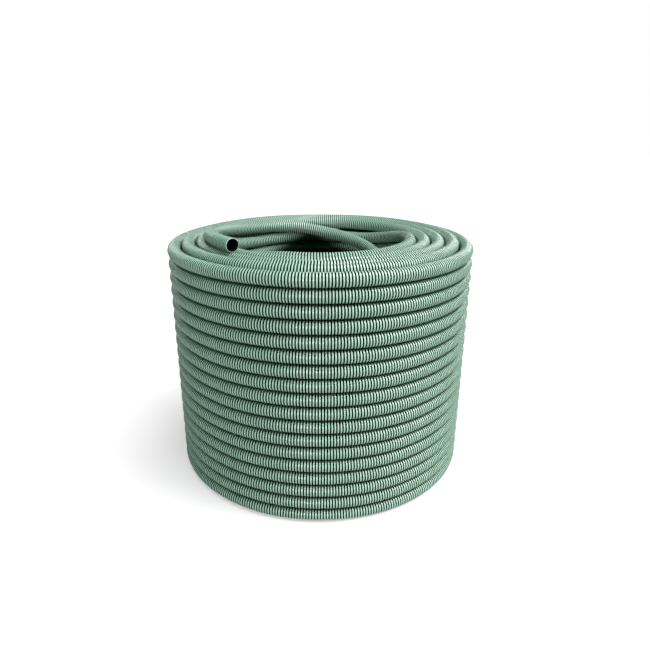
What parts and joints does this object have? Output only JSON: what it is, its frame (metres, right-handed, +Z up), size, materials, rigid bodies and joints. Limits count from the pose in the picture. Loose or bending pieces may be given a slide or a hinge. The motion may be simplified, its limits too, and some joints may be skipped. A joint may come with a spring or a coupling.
{
  "type": "coiled garden hose",
  "caption": "Coil of ribbed garden hose wound in flat rows round an open eye, with its open end lying on the top turns.",
  "frame": {"origin": "middle of the coil's eye, on the floor that the bottom row stands on", "axes": "+Z up along the eye, -Y towards the side that the open end looks to, +X to the right of it"},
  "size_m": [0.482, 0.482, 0.394],
  "materials": {
    "green_hose": "satin ribbed polyethylene",
    "shaded_hose": "satin ribbed polyethylene, in shade",
    "black_lining": "smooth black polyethylene"
  },
  "bodies": {
    "root": {"packed_layers": "shaded_hose", "inner_layer": "shaded_hose", "wound_turns": "green_hose", "loose_end": "green_hose", "hose_end": "green_hose", "hose_liner": "black_lining"}
  },
  "joints": []
}
